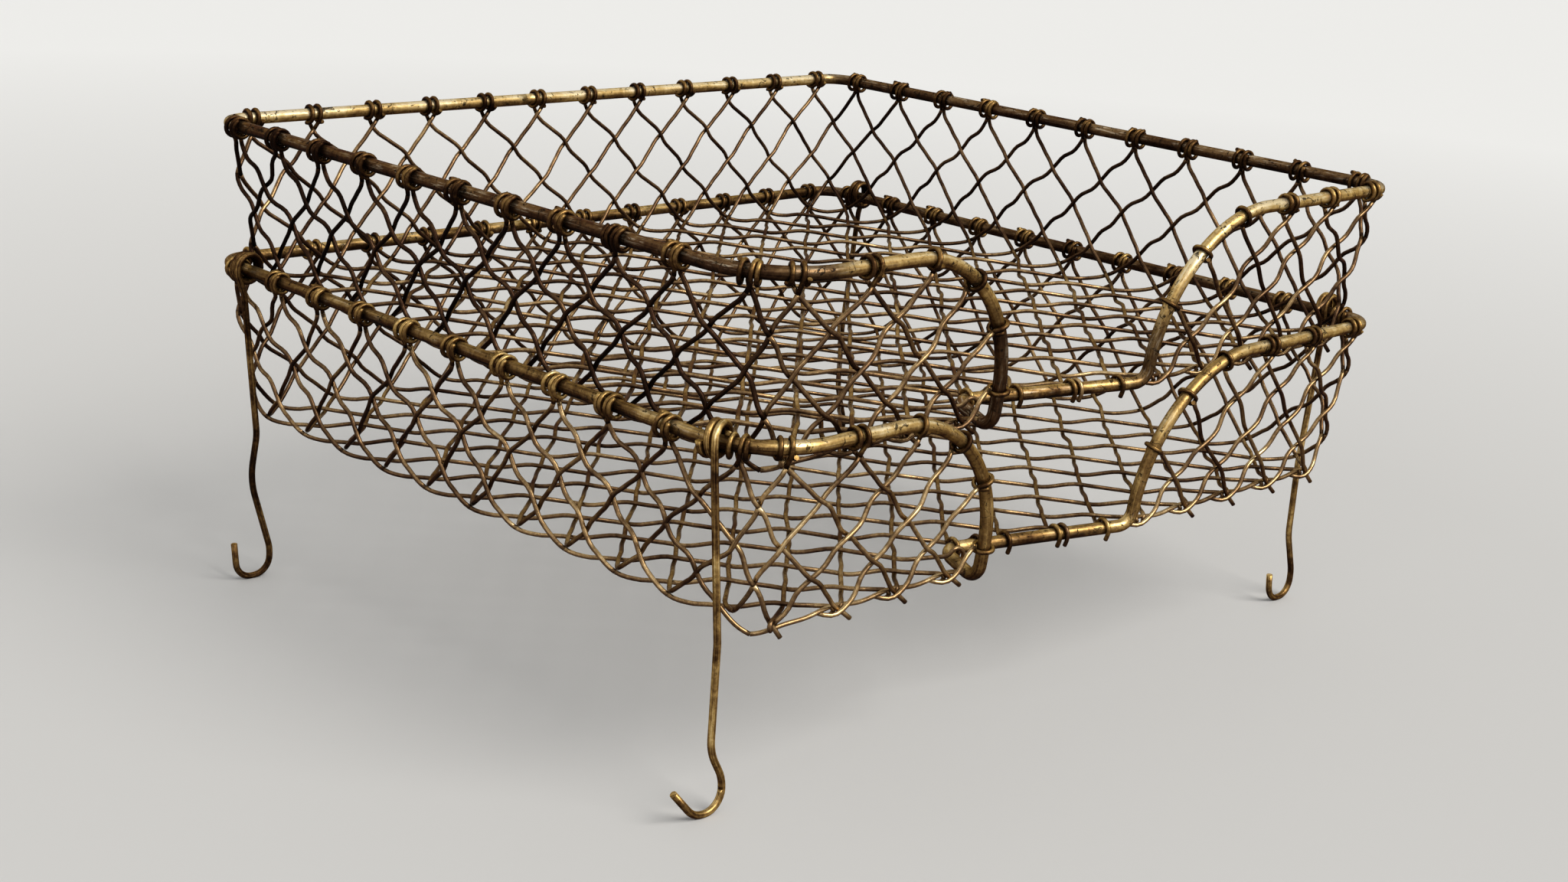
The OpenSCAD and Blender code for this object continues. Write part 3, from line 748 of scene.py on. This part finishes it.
def patina_and_shade(name, stops, level, dark=None, spread=1.0, rough=(0.3, 0.48), speck=0.5, patch=38.0, streak=0.5,
           underside_shade=0.3, worn=0.0, pit=0.6):
    """Aged brass. level(graph, x, y, z) gives how bright the metal is at a place of the tray, and
    dark(graph, x, y, z) where it has turned to chocolate brown. Faces that point down are painted darker by up
    to under, a painted shade, and faces that point up lighter by up to 0.3 of it, a painted light. worn shows
    bare metal in scratches, and a lower pit gives more pits."""
    g = Graph(name)
    tex = g.add("ShaderNodeTexCoord")
    coords = tex.outputs["Object"]
    split = g.add("ShaderNodeSeparateXYZ")
    g.links.new(coords, split.inputs[0])
    x, y, z = split.outputs
    facing = g.add("ShaderNodeSeparateXYZ")
    g.links.new(tex.outputs["Normal"], facing.inputs[0])
    run = g.add("ShaderNodeMapping", Scale=(30.0, 6.0, 1.0))
    g.links.new(tex.outputs["UV"], run.inputs["Vector"])
    lines = g.noise(run.outputs[0], 1.0, 4, 0.6, 0.6)
    big = g.noise(coords, patch, 3, 0.55, 0.4)
    mid = g.noise(coords, patch * 6, 4, 0.62, 0.8)
    fine = g.noise(coords, 900, 3, 0.6)
    tone = g.math("MULTIPLY", g.math("SUBTRACT", big, 0.5), 1.3 * spread)
    tone = g.math("ADD", tone, g.math("MULTIPLY", g.math("SUBTRACT", mid, 0.5), 0.7 * spread))
    tone = g.math("ADD", tone, g.math("MULTIPLY", g.math("SUBTRACT", lines, 0.5), streak))
    tone = g.math("ADD", tone, g.math("MULTIPLY", g.math("SUBTRACT", fine, 0.5), 0.35))
    # Painted shade on faces that point down and painted light on faces that point up, from the normal's height
    tone = g.math("ADD", tone, g.span(facing.outputs[2], -0.7, 0.7, -underside_shade, 0.3 * underside_shade))
    bright = g.math("ADD", tone, level(g, x, y, z), clamp=True)
    colour = g.ramp(bright, stops)
    if dark:
        brown = g.ramp(g.math("ADD", tone, 0.46, clamp=True), CHOCOLATE)
        colour = g.blend(dark(g, x, y, z), colour, brown)
    if worn:
        scratch = g.add("ShaderNodeMapping", Scale=(120.0, 9.0, 1.0))
        g.links.new(tex.outputs["UV"], scratch.inputs["Vector"])
        bare = g.math("MULTIPLY", g.span(g.noise(scratch.outputs[0], 1.0, 5, 0.65, 0.4), 0.54, 0.61), worn)
        bare = g.math("MULTIPLY", bare, g.span(facing.outputs[2], -0.3, 0.5))
        colour = g.blend(g.math("MULTIPLY", bare, g.span(big, 0.4, 0.6)), colour, BARE)
    pits = g.span(g.noise(coords, 330, 5, 0.7, 1.2), pit, pit + 0.06)
    colour = g.blend(g.math("MULTIPLY", pits, speck), colour, PIT_DARK)
    g.links.new(colour, g.bsdf.inputs["Base Color"])
    g.bsdf.inputs["Metallic"].default_value = 0.9
    g.bsdf.inputs["Specular Tint"].default_value = (0.4, 0.33, 0.25, 1)
    r = g.span(bright, 0.15, 0.85, rough[1], rough[0])
    r = g.math("ADD", r, g.math("MULTIPLY", pits, 0.25), clamp=True)
    g.links.new(g.math("ADD", r, g.math("MULTIPLY", g.math("SUBTRACT", fine, 0.5), 0.15), clamp=True),
                g.bsdf.inputs["Roughness"])
    b = g.add("ShaderNodeBump", Strength=0.2, Distance=0.0003)
    height = g.math("ADD", g.math("MULTIPLY", mid, 0.2), g.math("MULTIPLY", fine, 0.3))
    height = g.math("ADD", height, g.math("MULTIPLY", lines, 0.25))
    height = g.math("SUBTRACT", height, g.math("MULTIPLY", pits, 0.4))
    g.links.new(height, b.inputs["Height"])
    g.links.new(b.outputs[0], g.bsdf.inputs["Normal"])
    return g.mat


GOLD = [(0.0, (0.008, 0.003, 0.0015)), (0.25, (0.048, 0.022, 0.008)), (0.5, (0.19, 0.107, 0.035)),
        (0.72, (0.45, 0.29, 0.1)), (0.9, (0.68, 0.505, 0.24)), (1.0, (0.8, 0.66, 0.41))]
BRONZE = [(0.0, (0.006, 0.0025, 0.0015)), (0.35, (0.036, 0.017, 0.009)), (0.62, (0.14, 0.08, 0.038)),
          (0.85, (0.37, 0.24, 0.11)), (1.0, (0.58, 0.43, 0.23))]
CHOCOLATE = [(0.0, (0.008, 0.003, 0.002)), (0.4, (0.046, 0.021, 0.011)), (0.7, (0.12, 0.062, 0.031)),
             (1.0, (0.3, 0.19, 0.1))]
BARE, PIT_DARK = (0.66, 0.54, 0.38), (0.012, 0.008, 0.005)


def rim_level(front, back, left, right):
    def level(g, x, y, z):
        f = g.span(y, -0.132, -0.142, 0.0, front)
        b = g.span(y, 0.125, 0.142, 0.0, back)
        le = g.span(x, MID_X - 0.15, MID_X - 0.157, 0.0, left)
        ri = g.span(x, MID_X + 0.15, MID_X + 0.157, 0.0, right)
        return g.math("ADD", g.math("ADD", f, b), g.math("ADD", g.math("ADD", le, ri), 0.5))
    return level


def brown_lower(g, x, y, z):
    """The right rim is brown, and the left one browns towards the back."""
    ri = g.span(x, MID_X + 0.148, MID_X + 0.156, 0.0, 0.85)
    le = g.math("MULTIPLY", g.span(x, MID_X - 0.148, MID_X - 0.156), g.span(y, -0.13, 0.16, 0.2, 0.6))
    return g.math("ADD", ri, le, clamp=True)


def brown_upper(g, x, y, z):
    """Both sides are brown, as far as the front left corner, and so are the feet of the two shoulders."""
    ri = g.span(x, MID_X + 0.148, MID_X + 0.156, 0.0, 0.85)
    le = g.math("MULTIPLY", g.span(x, MID_X - 0.126, MID_X - 0.137, 0.0, 0.9), g.span(y, 0.142, 0.134))
    low = FLOOR_Z["upper"]
    foot = g.math("MULTIPLY", g.span(x, MID_X - 0.044, MID_X - 0.047, 0.0, 0.95),
                  g.span(z, low + 0.042, low + 0.028))
    other = g.math("MULTIPLY", g.span(x, MID_X + 0.018, MID_X + 0.027, 0.0, 0.8),
                   g.span(z, low + 0.032, low + 0.016))
    foot = g.math("MAXIMUM", foot, other)
    return g.math("MAXIMUM", g.math("ADD", ri, le, clamp=True), foot)


def even(mean, front=0.06):
    def level(g, x, y, z):
        return g.math("ADD", g.span(y, -0.15, 0.15, front, -front), mean)
    return level


RIM_LOOK = {
    "lower": patina_and_shade("lower_rim_patina", GOLD, rim_level(0.2, -0.02, 0.0, 0.02), brown_lower,
                    spread=0.7, streak=0.8, speck=0.9, underside_shade=0.45, worn=0.35, pit=0.565),
    "upper": patina_and_shade("upper_rim_patina", GOLD, rim_level(0.26, 0.34, 0.02, 0.04), brown_upper,
                    patch=44.0, spread=0.75, streak=0.8, speck=0.95, underside_shade=0.45, worn=0.7, pit=0.56),
}
LEG_LOOK = patina_and_shade("leg_patina", GOLD, even(0.42, 0.16), patch=60.0, streak=1.3)
# Brightness of the wires, panel by panel
WIRE_LEVEL = {
    "lower": {"left": 0.58, "right": 0.46, "back": 0.5, "front_left": 0.76, "front_right": 0.66,
              "floor": 0.58},
    "upper": {"left": 0.22, "right": 0.36, "back": 0.55, "front_left": 0.6, "front_right": 0.56,
              "floor": 0.58},
}
TIE_LEVEL = {
    "lower": {"left": 0.5, "right": 0.34, "back": 0.4, "front_left": 0.34, "front_right": 0.36, "bar": 0.42},
    "upper": {"left": 0.26, "right": 0.32, "back": 0.3, "front_left": 0.28, "front_right": 0.34, "bar": 0.44},
}

for name, leg in LEGS.items():
    make_piece(name + "_wire", [(leg_path(*leg), LEG_R)], "lower_tray", 0.0, LEG_LOOK, name, 12)

for tray, seed in (("lower", 11), ("upper", 23)):
    body = tray + "_tray"
    make_piece(f"{tray}_rim_rod", [(rim_path(), RIM_R)], body, FLOOR_Z[tray], RIM_LOOK[tray], f"{tray}_rim",
               18)
    looks = {}
    for label, tubes in sorted(build_net(tray, seed).tubes.items()):
        tie = label.endswith("_ties")
        place = label[len(tray) + 1:].replace("_ties", "").replace("_net", "")
        if place.endswith("edge_wire"):
            place = "front_left" if place.startswith("left") else "front_right"
        if (tie, place) not in looks:
            mean = (TIE_LEVEL if tie else WIRE_LEVEL)[tray][place]
            looks[tie, place] = patina_and_shade(
                f"{tray}_{place}_{'tie' if tie else 'net'}_patina", GOLD if tie else BRONZE,
                even(mean, 0.08 if place == "left" else 0.03), patch=70.0 if tie else 30.0,
                rough=(0.24, 0.42), speck=0.35, streak=0.45, spread=0.9, underside_shade=0.36)
        make_piece(label + "_wires", tubes, body, FLOOR_Z[tray], looks[tie, place], label)

# Stage
stage_mat = Graph("pale_floor")
spot = stage_mat.add("ShaderNodeVectorMath", operation="LENGTH")
stage_mat.links.new(stage_mat.add("ShaderNodeTexCoord").outputs["Object"], spot.inputs[0])
# The floor is painted darkest within 0.35 m of the stage's middle, where the tray stands, and palest beyond 1.5
# m: a painted shade round the tray
far = stage_mat.span(spot.outputs["Value"], 0.35, 1.5)
pale = stage_mat.blend(far, (0.62, 0.615, 0.6), (0.88, 0.885, 0.875))
stage_mat.links.new(pale, stage_mat.bsdf.inputs["Base Color"])
stage_mat.bsdf.inputs["Roughness"].default_value = 0.7
mesh = bpy.data.meshes.new("floor")
mesh.from_pydata([(-8, -8, 0), (8, -8, 0), (8, 8, 0), (-8, 8, 0)], [], [(0, 1, 2, 3)])
floor = bpy.data.objects.new("floor", mesh)
scene.collection.objects.link(floor)
floor.data.materials.append(stage_mat.mat)

# The world lights softly, and shows as a pale backdrop where it is seen or mirrored
world = bpy.data.worlds.new("studio")
scene.world = world
world.use_nodes = True
sky, sky_links = world.node_tree.nodes, world.node_tree.links
soft = sky["Background"]
soft.inputs["Color"].default_value = (0.86, 0.87, 0.88, 1)
soft.inputs["Strength"].default_value = 0.42
backdrop = sky.new("ShaderNodeBackground")
backdrop.inputs["Color"].default_value = (0.85, 0.85, 0.83, 1)
ray = sky.new("ShaderNodeLightPath")
seen = ray.outputs["Is Camera Ray"]
for kind in ("Is Glossy Ray", "Is Transmission Ray"):
    either = sky.new("ShaderNodeMath")
    either.operation = "MAXIMUM"
    sky_links.new(seen, either.inputs[0])
    sky_links.new(ray.outputs[kind], either.inputs[1])
    seen = either.outputs[0]
both = sky.new("ShaderNodeMixShader")
sky_links.new(seen, both.inputs[0])
sky_links.new(soft.outputs[0], both.inputs[1])
sky_links.new(backdrop.outputs[0], both.inputs[2])
sky_links.new(both.outputs[0], sky["World Output"].inputs["Surface"])


def lamp(name, kind, at, energy, colour, **props):
    data = bpy.data.lights.new(name, kind)
    data.energy = energy
    data.color = colour
    for key, value in props.items():
        setattr(data, key, value)
    o = bpy.data.objects.new(name, data)
    o.location = at
    o.rotation_mode = "QUATERNION"
    o.rotation_quaternion = (Vector((0, 0, 0.1)) - Vector(at)).to_track_quat("-Z", "Y")
    scene.collection.objects.link(o)


lamp("key", "SUN", (0.35, -1.6, 1.6), 2.7, (1, 0.97, 0.93), angle=math.radians(42))
lamp("fill", "AREA", (-1.4, -0.9, 1.1), 4, (0.95, 0.97, 1), shape="RECTANGLE", size=1.4, size_y=1.0)

# Camera, fitted to the photograph
F_PX, AZ, EL, ROLL = 3003.0, math.radians(-45.317), math.radians(16.609), math.radians(3.833)
back = np.array([math.sin(AZ) * math.cos(EL), -math.cos(AZ) * math.cos(EL), math.sin(EL)])
right = unit(np.cross(-back, UP))
up = np.cross(right, -back)
right, up = right * math.cos(ROLL) + up * math.sin(ROLL), -right * math.sin(ROLL) + up * math.cos(ROLL)
cam_data = bpy.data.cameras.new("camera")
cam_data.sensor_width = 36.0
cam_data.lens = 36.0 * F_PX / 2048
cam_data.clip_start, cam_data.clip_end = 0.02, 60
camera = bpy.data.objects.new("camera", cam_data)
scene.collection.objects.link(camera)
pose = Matrix([[right[r], up[r], back[r], 0] for r in range(3)] + [[0, 0, 0, 1]])
pose.translation = Vector((-0.6002 + MID_X, -0.5889, 0.3102))
camera.matrix_world = pose
scene.camera = camera

scene.view_settings.view_transform = "Standard"
bpy.context.view_layer.update()
